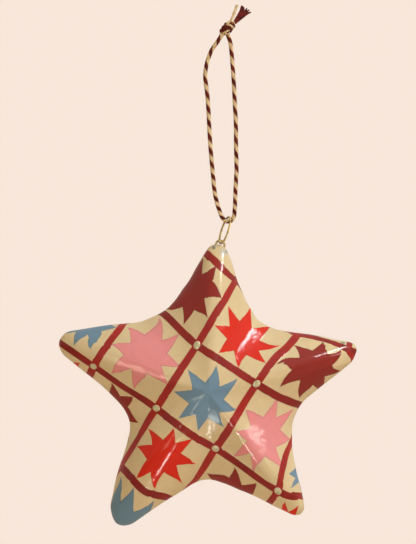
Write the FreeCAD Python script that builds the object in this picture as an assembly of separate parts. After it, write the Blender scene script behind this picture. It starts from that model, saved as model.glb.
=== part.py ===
import FreeCAD, Part
import math
import os

Vector = FreeCAD.Vector

# A puffy hollow star of moulded paper pulp, hung by a wire eye, an oval wire ring and a
# knotted loop of two-ply cord. Lengths are in millimetres, angles in degrees.
# X runs to the right of the star's face, Z runs up, and the face looks towards -Y.
# The origin is the point of the cord loop, under the knot, that a hook or a twig carries.

# Star outline: five arms and five notches, counted anticlockwise from the right-hand arm.
# The arms are pressed by hand, so each has its own share of the common sizes.
arm_reach = 52.5
tip_radius = 4.3
notch_reach = 30.1
notch_radius = 15.5
arm_angles = (14.9, 86.5, 161.9, 234.9, 306.2)
notch_angles = (52.5, 122.5, 198.3, 270.1, 340.5)
arm_reach_shares = (0.983, 0.944, 1.017, 1.055, 1.002)
tip_radius_shares = (0.96, 0.86, 1.17, 1.35, 0.71)
notch_reach_shares = (0.956, 1.021, 0.977, 1.029, 1.015)
notch_radius_shares = (0.855, 1.37, 0.85, 0.815, 1.105)
top_arm = 1

# Star depth: the face swells from the rim to the middle along a rounded pyramid's profile.
half_depth = 15.5
shell_wall = 2.4
glue_line = 0.1
rim_power = 1.7
crown_power = 1.35
least_corner_share = 0.15
face_shares = (1.0, 0.99, 0.965, 0.925, 0.87, 0.8, 0.72, 0.63, 0.54, 0.45, 0.36, 0.27, 0.18, 0.1, 0.04)
tip_chords = 8
notch_chords = 6
cavity_shares = (1.0, 0.9, 0.65, 0.35, 0.1)
cavity_tip_chords = 3
cavity_notch_chords = 2

# Paper strip pasted along the inside of the joint, and the filler that holds the eye.
strip_width = 3.0
strip_thickness = 0.5
plug_depth = 11.0

# Wire eye, standing on the right shoulder of the top tip. Its legs close up in the filler.
eye_wire = 0.7
eye_radius = 1.5
eye_tilt = 18.0
eye_neck = 1.2
eye_shank = 5.0
eye_closing = 12.0
eye_knee_radius = 2.8
leg_gap = 0.05

# Oval ring of twisted wire, hung in the bend of the cord.
ring_wire = 0.7
ring_length = 9.4
ring_width = 4.7
ring_end_radius = 1.7
ring_lean = 18.0
ring_turn = 24.0
ring_seat_angle = 35.0
cord_gap = 0.3
running_gap = 0.2

# Two-ply cord. The loop runs from the knot down the left leg, round the ring's bend and
# up the right leg, back into the knot. Its two lowest points turn it round the ring, and
# elsewhere an arc takes the run share of the shorter run beside it.
cord_diameter = 1.5
run_share = 0.45
bend_radius = 2.14
bend_side = 1.16
bend_drop = 60.76
loop_route = (
    (-0.60, -0.50, 1.20), (-2.05, -0.45, -1.45), (-4.55, -0.30, -4.60), (-6.20, -0.10, -9.40),
    (-6.75, 0.10, -13.60), (-5.95, 0.30, -18.60), (-5.45, 0.40, -25.50), (-5.15, 0.30, -32.50),
    (-4.60, 0.10, -40.50), (-3.95, -0.10, -47.00), (-3.45, -0.10, -53.00), (-2.15, 0.00, -58.30),
    (-0.18, 0.00, -63.14), (3.18, 0.00, -62.61),
    (3.55, 0.00, -57.20), (3.75, 0.15, -51.00), (4.15, 0.30, -44.50), (3.85, 0.25, -37.50),
    (3.90, 0.00, -30.00), (3.45, -0.25, -23.00), (3.20, -0.30, -16.50), (2.75, -0.10, -10.50),
    (2.35, 0.10, -4.80), (1.80, 0.40, -0.90), (0.75, 0.60, 1.35),
)

# Overhand knot of the doubled cord: a barrel of three wraps, leaning to the upper right.
knot_side = 1.15
knot_rise = 3.05
knot_lean = 42.0
knot_radius = 1.95
knot_wraps = 3
wrap_pitch = 1.9
wrap_groove_share = 0.82
wrap_flat_share = 0.4
knot_mouth_share = 0.55

# Ends of the two plies beyond the knot. Places count along and across the knot's axis.
ply_diameter = 0.8
cream_tail_route = ((0.9, 0.35), (3.6, 0.75), (6.0, 1.75), (8.6, 2.35))
tuft_lean = 6.0
tuft_shift_share = 0.25
tuft_reach = 8.2
tuft_root_width = 1.3
tuft_end_width = 3.5
tuft_thickness = 1.1
tuft_end_thickness = 0.9

overrun = 1.0
wire_sides = 8


def polar(distance, angle):
    """A place in the star's plane, as (x, z) from its centre."""
    turn = math.radians(angle)
    return distance * math.cos(turn), distance * math.sin(turn)


def eye_up():
    """The direction in which the eye stands out of the tip."""
    tilt = math.radians(eye_tilt)
    return Vector(math.sin(tilt), 0, math.cos(tilt))


def ring_top():
    """The middle of the ring's wire where it rests inside the bend of the cord."""
    seat = math.radians(ring_seat_angle)
    throw = bend_radius - cord_diameter / 2 - cord_gap - ring_wire / 2
    bend_centre = Vector(bend_side, 0, -bend_drop)
    return bend_centre + Vector(math.sin(seat), 0, -math.cos(seat)) * throw


def ring_down():
    """The direction of the ring's long axis, from the cord to the eye."""
    lean = math.radians(ring_lean)
    return Vector(-math.sin(lean), 0, -math.cos(lean))


def eye_crown():
    """The middle of the eye's wire where the ring's lower end carries it."""
    seat = ring_wire / 2 + running_gap + eye_wire / 2
    return ring_top() + ring_down() * (ring_length - seat)


def star_centre():
    """The star hangs so that the ring's wire passes freely between the eye and the tip."""
    standout = eye_wire / 2 + ring_wire + 2 * running_gap
    radius = tip_radius * tip_radius_shares[top_arm]
    tip_middle = eye_crown() - eye_up() * (standout + radius)
    reach = arm_reach * arm_reach_shares[top_arm]
    x, z = polar(reach - radius, arm_angles[top_arm])
    return tip_middle - Vector(x, 0, z)


def star_circles(inset):
    """The tip and notch circles of the outline, drawn in by an inset."""
    circles = []
    for arm in range(len(arm_angles)):
        full = tip_radius * tip_radius_shares[arm]
        radius = max(full - inset, least_corner_share * full)
        reach = arm_reach * arm_reach_shares[arm] - inset
        circles.append((polar(reach - radius, arm_angles[arm]), radius))
        radius = notch_radius * notch_radius_shares[arm] + inset
        reach = notch_reach * notch_reach_shares[arm] - inset
        circles.append((polar(reach + radius, notch_angles[arm]), radius))
    return circles


def tangent(first, second, side):
    """The straight flank between a tip circle and the notch circle beside it."""
    (x1, z1), radius1 = first
    (x2, z2), radius2 = second
    gap = math.hypot(x2 - x1, z2 - z1)
    turn = math.atan2(z2 - z1, x2 - x1) + side * math.asin((radius1 + radius2) / gap)
    nx, nz = -math.sin(turn), math.cos(turn)
    start = (x1 - side * radius1 * nx, z1 - side * radius1 * nz)
    end = (x2 + side * radius2 * nx, z2 + side * radius2 * nz)
    return start, end


def star_outline(inset, tip_steps, notch_steps):
    """The star's outline as (x, z) places: straight flanks, and chords round tips and notches."""
    circles = star_circles(inset)
    count = len(circles)
    flanks = []
    for k in range(count):
        flanks.append(tangent(circles[k], circles[(k + 1) % count], -1 if k % 2 else 1))
    outline = []
    for k in range(count):
        (cx, cz), radius = circles[k]
        begin = math.atan2(flanks[k - 1][1][1] - cz, flanks[k - 1][1][0] - cx)
        finish = math.atan2(flanks[k][0][1] - cz, flanks[k][0][0] - cx)
        sweep = (finish - begin + math.pi) % (2 * math.pi) - math.pi
        steps = notch_steps if k % 2 else tip_steps
        for step in range(steps + 1):
            angle = begin + sweep * step / steps
            outline.append((cx + radius * math.cos(angle), cz + radius * math.sin(angle)))
    return outline


def star_section(outline, share, depth):
    """The outline shrunk to a share at one depth, closed on itself."""
    centre = star_centre()
    ring = [centre + Vector(x * share, depth, z * share) for x, z in outline]
    return ring + ring[:1]


def stacked_solid(sections):
    """A solid through outlines of one shape and many sizes, so that each facet is flat."""
    faces = [Part.Face(Part.makePolygon(sections[0])), Part.Face(Part.makePolygon(sections[-1]))]
    for lower, upper in zip(sections, sections[1:]):
        for k in range(len(lower) - 1):
            corners = [lower[k], lower[k + 1], upper[k + 1], upper[k], lower[k]]
            faces.append(Part.Face(Part.makePolygon(corners)))
    solid = Part.Solid(Part.makeShell(faces))
    if solid.Volume < 0:
        solid.reverse()
    return solid


def depth_share(share):
    """How deep the face is where its outline has shrunk to a share."""
    return (1 - share ** crown_power) ** (1 / rim_power)


def star_half(side):
    """One half of the star's outer form, from the joint to the middle of its face."""
    outline = star_outline(0, tip_chords, notch_chords)
    start = glue_line / 2
    sections = []
    for share in face_shares:
        depth = start + (half_depth - start) * depth_share(share)
        sections.append(star_section(outline, share, side * depth))
    return stacked_solid(sections)


def star_cavity(inset):
    """The hollow inside, upright at the joint so that the strip lies flat on it."""
    outline = star_outline(inset, cavity_tip_chords, cavity_notch_chords)
    band = strip_width / 2 + glue_line
    room = half_depth - inset - band
    sections = []
    for share in cavity_shares:
        depth = band + room * depth_share(share)
        sections.append(star_section(outline, share, -depth))
        sections.insert(0, star_section(outline, share, depth))
    return stacked_solid(sections)


def joint_strip():
    """The strip's closed band, pasted to the upright wall of both halves."""
    bands = []
    for inset in (shell_wall + glue_line, shell_wall + glue_line + strip_thickness):
        outline = star_outline(inset, cavity_tip_chords, cavity_notch_chords)
        face = Part.Face(Part.makePolygon(star_section(outline, 1, -strip_width / 2)))
        bands.append(face.extrude(Vector(0, strip_width, 0)))
    return bands[0].cut(bands[1])


def tip_block(drop):
    """A block that holds the top arm's end, down to a drop below its tip."""
    size = 2 * arm_reach
    block = Part.makeBox(size, size, size, Vector(-size / 2, -size / 2, 0))
    block.rotate(Vector(), Vector(0, 1, 0), 90 - arm_angles[top_arm])
    reach = arm_reach * arm_reach_shares[top_arm] - drop
    x, z = polar(reach, arm_angles[top_arm])
    block.translate(star_centre() + Vector(x, 0, z))
    return block


def wire_sweep(path, radius, across):
    """A wire of many flat sides, with a round wire's section area, swept along a tangent path."""
    first = path.OrderedEdges[0]
    heading = first.tangentAt(first.FirstParameter)
    start = first.valueAt(first.FirstParameter)
    over = across.cross(heading).normalize()
    across = heading.cross(over)
    turn = 2 * math.pi / wire_sides
    reach = radius * math.sqrt(turn / math.sin(turn))
    corners = []
    for side in range(wire_sides):
        angle = turn * (side + 0.5)
        corners.append(start + (across * math.cos(angle) + over * math.sin(angle)) * reach)
    return path.makePipeShell([Part.makePolygon(corners + corners[:1])], True, False)


def eye_path():
    """The eye's centre line: a leg, the arch and a leg, the legs closing up below the tip."""
    up = eye_up()
    across = Vector(up.z, 0, -up.x)
    closing = math.radians(eye_closing)
    middle = eye_crown() - up * eye_radius
    points = {}
    for side in (-1, 1):
        spring = middle + across * (side * eye_radius)
        knee = spring - up * eye_neck
        foot = knee - up * (eye_shank * math.cos(closing))
        foot -= across * (side * eye_shank * math.sin(closing))
        points[side] = (spring, knee, foot)
    left, right = points[-1], points[1]
    bends = {1: eye_knee_radius}
    edges = rounded_run([left[2], left[1], left[0]], bends)
    edges.append(Part.Arc(left[0], eye_crown(), right[0]).toShape())
    edges += rounded_run([right[0], right[1], right[2]], bends)
    return Part.Wire(edges)


def rounded_run(points, set_radii):
    """Straight runs joined by tangent arcs, each as large as its two runs allow."""
    edges = []
    here = points[0]
    for k in range(1, len(points) - 1):
        into = points[k] - points[k - 1]
        out = points[k + 1] - points[k]
        half_turn = into.getAngle(out) / 2
        radius = set_radii.get(k, run_share * min(into.Length, out.Length) / math.tan(half_turn))
        setback = radius * math.tan(half_turn)
        into.normalize()
        out.normalize()
        start = points[k] - into * setback
        end = points[k] + out * setback
        inward = out - into
        inward.normalize()
        centre = points[k] + inward * (radius / math.cos(half_turn))
        middle = centre - inward * radius
        edges.append(Part.LineSegment(here, start).toShape())
        edges.append(Part.Arc(start, middle, end).toShape())
        here = end
    edges.append(Part.LineSegment(here, points[-1]).toShape())
    return edges


def route_radii(points, set_radii):
    """The radius at each inner point of a route."""
    radii = []
    for k in range(1, len(points) - 1):
        into = points[k] - points[k - 1]
        out = points[k + 1] - points[k]
        half_turn = into.getAngle(out) / 2
        radius = set_radii.get(k, run_share * min(into.Length, out.Length) / math.tan(half_turn))
        radii.append(round(radius, 1))
    return radii


def ring_path():
    """A four-centre oval: two end arcs and two side arcs, tangent all round."""
    turn = math.radians(ring_turn)
    down = ring_down()
    across = Vector(math.sin(turn), -math.cos(turn), 0)
    across -= down * across.dot(down)
    across.normalize()
    half_length = ring_length / 2
    half_width = ring_width / 2
    end = ring_end_radius
    square = half_length ** 2 - 2 * half_length * end + half_width ** 2
    side = square / (2 * (half_width - end))
    middle = ring_top() + down * half_length
    end_centre = half_length - end
    side_centre = side - half_width
    lean = math.atan2(end_centre, side_centre)

    def place(along, over):
        return middle + down * along + across * over

    join_along = end_centre + end * math.sin(lean)
    join_over = end * math.cos(lean)
    edges = []
    for way in (1, -1):
        edges.append(Part.Arc(place(way * join_along, way * join_over), place(way * half_length, 0),
                              place(way * join_along, -way * join_over)).toShape())
        edges.append(Part.Arc(place(way * join_along, -way * join_over), place(0, -way * half_width),
                              place(-way * join_along, -way * join_over)).toShape())
    return Part.Wire(edges)


def knot_axis():
    """The direction of the knot, from the loop to the tails."""
    lean = math.radians(knot_lean)
    return Vector(math.sin(lean), 0, math.cos(lean))


def knot_place(along, over):
    """A place in the knot's own plane; over counts towards the upper left."""
    axis = knot_axis()
    return Vector(knot_side, 0, knot_rise) + axis * along + Vector(-axis.z, 0, axis.x) * over


def knot_solid():
    """A barrel of wraps, turned about the knot's axis."""
    half = knot_wraps * wrap_pitch / 2
    mouth = knot_radius * knot_mouth_share
    groove = knot_radius * wrap_groove_share
    outline = [(-half, 0), (-half, mouth)]
    for wrap in range(knot_wraps):
        middle = -half + (wrap + 0.5) * wrap_pitch
        flat = wrap_pitch * wrap_flat_share / 2
        outline += [(middle - flat, knot_radius), (middle + flat, knot_radius)]
        outline.append((middle + wrap_pitch / 2, mouth if wrap == knot_wraps - 1 else groove))
    outline.append((half, 0))
    points = [knot_place(along, over) for along, over in outline]
    face = Part.Face(Part.makePolygon(points + points[:1]))
    return face.revolve(knot_place(0, 0), knot_axis(), 360)


def tuft_solid():
    """The frayed end of one ply, flattening into a fan."""
    lean = math.radians(tuft_lean)
    axis = knot_axis()
    across = Vector(-axis.z, 0, axis.x)
    heading = axis * math.cos(lean) - across * math.sin(lean)
    side = across * math.cos(lean) + axis * math.sin(lean)
    root = knot_place(knot_wraps * wrap_pitch / 2 - overrun, 0)
    root -= side * (tuft_root_width * tuft_shift_share)
    sections = []
    for share, width, thickness in ((0, tuft_root_width, tuft_thickness),
                                    (0.5, (tuft_root_width + tuft_end_width) / 2, tuft_thickness),
                                    (1, tuft_end_width, tuft_end_thickness)):
        middle = root + heading * (tuft_reach * share)
        sections.append(oval_wire(middle, side, Vector(0, 1, 0), width, thickness))
    return Part.makeLoft(sections, True, True)


def oval_wire(middle, side, front, width, thickness):
    """A flat-sided oval: two lines joined by two half rounds."""
    flat = side * ((width - thickness) / 2)
    rise = front * (thickness / 2)
    tip = side * (width / 2)
    corners = [middle - flat - rise, middle + flat - rise, middle + flat + rise, middle - flat + rise]
    return Part.Wire([
        Part.LineSegment(corners[0], corners[1]).toShape(),
        Part.Arc(corners[1], middle + tip, corners[2]).toShape(),
        Part.LineSegment(corners[2], corners[3]).toShape(),
        Part.Arc(corners[3], middle - tip, corners[0]).toShape(),
    ])


def cord_tube(points, diameter, set_radii, name):
    """A plain round cord along a route, with its radii and its volume reported."""
    path = Part.Wire(rounded_run(points, set_radii))
    tube = wire_sweep(path, diameter / 2, Vector(0, 1, 0))
    section = math.pi * diameter ** 2 / 4
    print(name, "length", round(path.Length, 1), "radii", route_radii(points, set_radii))
    print(name, "volume over section times length", round(tube.Volume / (section * path.Length), 3))
    return tube


def make_parts():
    """Every piece of the ornament, by name."""
    front = Vector(0, 1, 0)
    eye = wire_sweep(eye_path(), eye_wire / 2, front)
    channel = wire_sweep(eye_path(), eye_wire / 2 + leg_gap, front)
    hollow = star_cavity(shell_wall).fuse(channel)
    plug = star_cavity(shell_wall + glue_line).common(tip_block(plug_depth)).cut(channel)
    route = [Vector(*point) for point in loop_route]
    cream = [knot_place(along, over) for along, over in cream_tail_route]
    lowest = sorted(range(len(route)), key=lambda k: route[k].z)[:2]
    bends = {k: bend_radius for k in lowest}
    return {
        "front_shell": star_half(-1).cut(hollow),
        "rear_shell": star_half(1).cut(hollow),
        "seam_strip": joint_strip().cut(tip_block(plug_depth + glue_line)),
        "tip_plug": plug,
        "hanger_eye": eye,
        "hanger_ring": wire_sweep(ring_path(), ring_wire / 2, ring_down()),
        "cord_loop": cord_tube(route, cord_diameter, bends, "cord_loop"),
        "cord_knot": knot_solid(),
        "cord_tail_cream": cord_tube(cream, ply_diameter, {}, "cord_tail_cream"),
        "cord_tail_maroon": tuft_solid(),
    }


os.makedirs("parts", exist_ok=True)
for name, shape in make_parts().items():
    shape.exportStep(f"parts/{name}.step")
    print(name, "solids", len(shape.Solids), "valid", shape.isValid(), "volume", round(shape.Volume, 2))
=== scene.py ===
# %% [markdown]
# # A hollow painted star on a twisted cord
# This notebook dresses a small hanging ornament: a puffy star moulded from paper pulp, painted
# with a patchwork quilt pattern and lacquered, that hangs from a loop of two-ply cotton cord.
# The engineering solids are loaded first. The pieces made here either dress a solid or stand in
# for it, so the dressed ornament keeps within half a millimetre of the solids' own box.

# %% Load the solids
import math

import bmesh
import bpy
import numpy as np
from mathutils import Matrix, Vector, noise
from mathutils.bvhtree import BVHTree


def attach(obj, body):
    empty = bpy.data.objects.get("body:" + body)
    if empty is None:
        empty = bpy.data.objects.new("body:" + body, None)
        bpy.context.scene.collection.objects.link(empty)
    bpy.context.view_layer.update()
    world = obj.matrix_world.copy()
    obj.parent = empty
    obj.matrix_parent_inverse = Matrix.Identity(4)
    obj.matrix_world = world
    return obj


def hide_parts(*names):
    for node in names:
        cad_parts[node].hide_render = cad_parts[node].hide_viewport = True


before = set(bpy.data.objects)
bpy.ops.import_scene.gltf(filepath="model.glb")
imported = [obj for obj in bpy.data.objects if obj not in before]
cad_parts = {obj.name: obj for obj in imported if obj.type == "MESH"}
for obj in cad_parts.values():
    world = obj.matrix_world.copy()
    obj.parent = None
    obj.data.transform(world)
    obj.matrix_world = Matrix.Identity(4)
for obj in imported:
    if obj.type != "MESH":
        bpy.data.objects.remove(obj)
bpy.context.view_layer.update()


# %% [markdown]
# ## Units and helpers
# Blender counts in metres, and an ornament this small is easier to think about in millimetres,
# so every size below is written in millimetres and multiplied by one constant. Colours are
# chosen as a screen shows them and turned into the linear values that the shader works with.

# %% Millimetres, colours and small node helpers
MM = 0.001


def paint_colour(red, green, blue):
    """A colour as a screen shows it, from 0 to 255, as the linear colour the shader wants."""
    linear = []
    for channel in (red, green, blue):
        share = channel / 255
        linear.append(share / 12.92 if share <= 0.04045 else ((share + 0.055) / 1.055) ** 2.4)
    return (*linear, 1.0)


def add_node(tree, kind, inputs=None, **settings):
    """A node with its settings, and with each input either linked or set to a value."""
    node = tree.nodes.new(kind)
    for key, value in settings.items():
        setattr(node, key, value)
    for key, value in (inputs or {}).items():
        if isinstance(value, bpy.types.NodeSocket):
            tree.links.new(value, node.inputs[key])
        else:
            node.inputs[key].default_value = value
    return node


def sum_of(tree, operation, *values):
    """One step of arithmetic on sockets or plain numbers."""
    inputs = dict(enumerate(values))
    return add_node(tree, "ShaderNodeMath", inputs, operation=operation).outputs[0]


def vector_of(tree, operation, *values):
    """One step of arithmetic on places. A length comes out as a number."""
    inputs = dict(enumerate(values))
    node = add_node(tree, "ShaderNodeVectorMath", inputs, operation=operation)
    return node.outputs["Value" if operation == "LENGTH" else "Vector"]


def between(tree, share, first, second):
    """The first colour where the share is 0, the second where it is 1."""
    inputs = {0: share, 6: first, 7: second}
    return add_node(tree, "ShaderNodeMix", inputs, data_type="RGBA").outputs[2]


def soft_step(tree, value, low, high):
    """0 below low, 1 above high, and a smooth slope between them."""
    inputs = {0: value, 1: low, 2: high, 3: 0.0, 4: 1.0}
    node = add_node(tree, "ShaderNodeMapRange", inputs, interpolation_type="SMOOTHSTEP")
    return node.outputs[0]


def cloudy(tree, place, scale, detail=2.0):
    """Soft noise from 0 to 1 at a place, with a scale in features per unit of the place."""
    inputs = {"Vector": place, "Scale": scale, "Detail": detail}
    return add_node(tree, "ShaderNodeTexNoise", inputs).outputs["Fac"]


def new_finish(name):
    """An empty material with its shader, ready for sockets to be filled."""
    finish = bpy.data.materials.new(name)
    finish.use_nodes = True
    tree = finish.node_tree
    return finish, tree, tree.nodes["Principled BSDF"]


def add_bump(tree, shader, height, depth):
    """Fine relief on a shader, in metres of depth."""
    inputs = {"Height": height, "Distance": depth, "Strength": 1.0}
    bump = add_node(tree, "ShaderNodeBump", inputs)
    tree.links.new(bump.outputs[0], shader.inputs["Normal"])
    return bump.outputs[0]


def keep_piece(name, mesh, body, finish, slot, *stands_for):
    """Puts a finished mesh into the scene and ties it to the body that it hangs on."""
    piece = bpy.data.objects.new(name, mesh)
    bpy.context.scene.collection.objects.link(piece)
    if finish is not None:
        mesh.materials.append(finish)
    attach(piece, body)
    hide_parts(*stands_for)
    print(name, "has", len(mesh.polygons), "faces")
    return piece


# %% [markdown]
# ## The star's outline
# The star was pressed by hand in a mould, so no two arms match. The outline is five circles for
# the tips and five for the notches between them, joined by straight flanks. A small program
# fitted the circles to the photographed edge, and the top tip's was worked out again from that
# edge as a program measured it row by row. They are written down as shares of common sizes. The
# inside wall uses the same outline, drawn in by the thickness of the paper. On the outer skin
# the edge also bulges a little here and there, as a short list says.

# %% Sizes of the star
arm_reach = 52.5 * MM
tip_radius = 4.3 * MM
notch_reach = 30.1 * MM
notch_radius = 15.5 * MM
arm_angles = (14.9, 86.5, 161.9, 234.9, 306.2)
notch_angles = (52.5, 122.5, 198.3, 270.1, 340.5)
arm_reach_shares = (0.983, 0.944, 1.017, 1.055, 1.002)
tip_radius_shares = (0.96, 0.86, 1.17, 1.35, 0.71)
notch_reach_shares = (0.956, 1.021, 0.977, 1.029, 1.015)
notch_radius_shares = (0.855, 1.37, 0.85, 0.815, 1.105)
star_centre = Vector((-5.4328, 0.0, -120.1226)) * MM
half_depth = 15.5 * MM
shell_wall = 2.4 * MM
rim_power = 1.7
crown_power = 1.35
least_corner_share = 0.15


# %% Draw the outline
def circles_of(inset):
    """The tip and notch circles in turn, as (middle, radius), drawn in by an inset."""
    circles = []
    for arm in range(5):
        full = tip_radius * tip_radius_shares[arm]
        radius = max(full - inset, least_corner_share * full)
        turn = math.radians(arm_angles[arm])
        reach = arm_reach * arm_reach_shares[arm] - inset - radius
        circles.append((Vector((math.cos(turn), math.sin(turn))) * reach, radius))
        radius = notch_radius * notch_radius_shares[arm] + inset
        turn = math.radians(notch_angles[arm])
        reach = notch_reach * notch_reach_shares[arm] - inset + radius
        circles.append((Vector((math.cos(turn), math.sin(turn))) * reach, radius))
    return circles


def flank_between(first, second, side):
    """The straight flank that touches a tip circle and the notch circle beside it."""
    way = second[0] - first[0]
    turn = math.atan2(way.y, way.x) + side * math.asin((first[1] + second[1]) / way.length)
    out = Vector((-math.sin(turn), math.cos(turn))) * side
    return first[0] - out * first[1], second[0] + out * second[1]


def outline_of(inset, arc_steps=14, flank_steps=9):
    """The outline as places in the star's own plane, evenly stepped round arcs and flanks."""
    circles = circles_of(inset)
    flanks = []
    for k in range(10):
        side = -1 if k % 2 else 1
        flanks.append(flank_between(circles[k], circles[(k + 1) % 10], side))
    places = []
    for k in range(10):
        middle, radius = circles[k]
        begin = flanks[k - 1][1] - middle
        finish = flanks[k][0] - middle
        start_turn = math.atan2(begin.y, begin.x)
        sweep = (math.atan2(finish.y, finish.x) - start_turn + math.pi) % (2 * math.pi) - math.pi
        for step in range(arc_steps):
            turn = start_turn + sweep * step / arc_steps
            places.append(middle + Vector((math.cos(turn), math.sin(turn))) * radius)
        for step in range(flank_steps):
            places.append(flanks[k][0].lerp(flanks[k][1], step / flank_steps))
    return places


# Where the pressed edge bulges or is dented: direction and half width in degrees, and how far
# out in millimetres.
edge_bulges = (
    (2, 14, -0.5), (11.5, 4, -0.35), (16.5, 4, 0.7), (21.5, 4, -0.4), (26, 13, 0.9),
    (48, 14, 0.45), (62, 7, 0.8), (75, 5, -0.4), (80, 4, 0.5), (92, 5, 0.3), (100, 5, -0.5),
    (128, 9, 0.25), (148, 12, 0.65), (167, 5, -0.5), (176, 14, -1.35), (190, 8, -0.25),
    (203, 16, -0.65), (216, 6, -0.5), (230, 7, -1.5), (246, 12, -0.8), (268, 16, -0.5),
    (282, 5, -0.5), (294, 14, -1.15), (303, 4, -0.5), (312, 5, 0.8), (330, 9, 0.65),
    (352, 10, -0.3),
)


def bulged(place):
    """A place of the outline, moved out or in as the pressed edge is there."""
    direction = math.degrees(math.atan2(place.y, place.x))
    moved = place.copy()
    for middle, half_width, height in edge_bulges:
        off = (direction - middle + 180) % 360 - 180
        if abs(off) < half_width:
            share = math.cos(math.pi / 2 * off / half_width) ** 2
            moved += place.normalized() * (height * MM * share)
    return moved


outer_outline = [bulged(place) for place in outline_of(0.0)]
inner_outline = outline_of(shell_wall)
print("outline of", len(outer_outline), "places,",
      round(max(p.length for p in outer_outline) / MM, 1), "mm to the farthest tip")

# %% [markdown]
# ## Where the quilt lies on the star
# The painter laid a slanting grid of patchwork blocks over the star, and each line bends a
# little where it climbs over a ridge. The grid is stored on the mesh: every vertex carries the
# block coordinates of its own place, so the material only has to draw one tidy block. Crossings,
# line ends and the points of the painted stars were read off. Twelve more places, between
# two crossings, follow the middle of a band as a small program measured it in the photo. The
# even grid is bent through them as a thin sheet bends when it is pinned down, once for the bands
# and once for the stars. Towards the rim the skin turns away sideways, and there the grid keeps
# counting along the skin, so that the paint isn't smeared round the edge.

# %% The grid of blocks and its hand-painted bends
# A place in the picture is counted in steps to the right and down, each SIGHT long.
SIGHT = 0.34 * MM
origin_across, origin_down = 224.6, 36.5
view_distance = 0.8
view_middle = Vector((-5.64, -80.07)) * MM


def seen(across, down):
    """Where a sight line meets the upright plane through the star's middle, as (x, z)."""
    return Vector(((across - origin_across) * SIGHT, (origin_down - down) * SIGHT))


def as_seen(place):
    """Where a place on the skin shows in that plane, with the eye at the view's distance."""
    nearer = view_distance / (view_distance - abs(place.y))
    return view_middle + (Vector((place.x, place.z)) - view_middle) * nearer


grid_origin = seen(157, 408)
grid_right = Vector((60.5, -41.0)) * SIGHT
grid_up = Vector((40.0, 64.0)) * SIGHT
# Each pin is a place in the picture and the block coordinates that belong there.
grid_places = (
    (156.4, 408.3, 0.0, 0.0), (196.9, 345.2, 0.0, 1.0), (215.4, 448.6, 1.0, 0.0),
    (256.6, 383.9, 1.0, 1.0), (277.9, 491.1, 2.0, 0.0), (93.4, 366.5, -1.0, 0.0),
    (236.0, 280.6, 0.0, 2.0), (297.5, 334.6, 1.0, 2.0), (348.8, 349.4, 2.0, 2.0),
    (121.8, 325.5, -1.0, 0.7), (90.3, 374.1, -1.0, -0.13), (162.4, 312.6, -0.62, 1.0),
    (300.3, 404.6, 1.68, 1.0), (61.2, 344.0, -1.52, 0.0), (288.0, 496.0, 2.33, 0.0),
    (302.3, 496.4, 2.75, 0.0), (206.5, 253.3, -0.64, 2.0), (315.2, 337.3, 1.22, 2.0),
    (323.8, 339.6, 1.36, 2.0), (353.5, 356.5, 2.0, 1.8), (120.6, 466.5, 0.0, -1.0),
    (143.8, 491.0, 0.48, -1.0), (168.2, 497.6, 0.88, -1.0), (193.2, 482.6, 1.0, -0.55),
    (292.0, 441.0, 2.0, 0.68), (271.5, 500.4, 2.0, -0.15), (124.9, 387.8, -0.5, 0.0),
    (246.6, 469.8, 1.5, 0.0), (216.2, 312.8, 0.0, 1.5), (275.5, 357.9, 1.0, 1.5),
    (228.6, 429.7, 1.0, 0.3), (243.9, 403.1, 1.0, 0.7), (173.2, 421.7, 0.3, 0.0),
    (196.7, 438.0, 0.7, 0.0), (214.8, 356.8, 0.3, 1.0), (238.7, 372.3, 0.7, 1.0),
    (168.5, 389.3, 0.0, 0.3), (184.5, 363.9, 0.0, 0.7), (134.7, 481.8, 0.3, -1.0),
    (152.8, 494.7, 0.65, -1.0), (250.0, 304.0, 0.3, 1.88), (272.0, 326.0, 0.68, 1.88),
    (307.1, 335.0, 1.12, 2.0), (332.4, 342.2, 1.5, 2.0), (341.0, 345.1, 1.75, 2.0),
    (357.3, 347.6, 2.14, 2.14),
)
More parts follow.
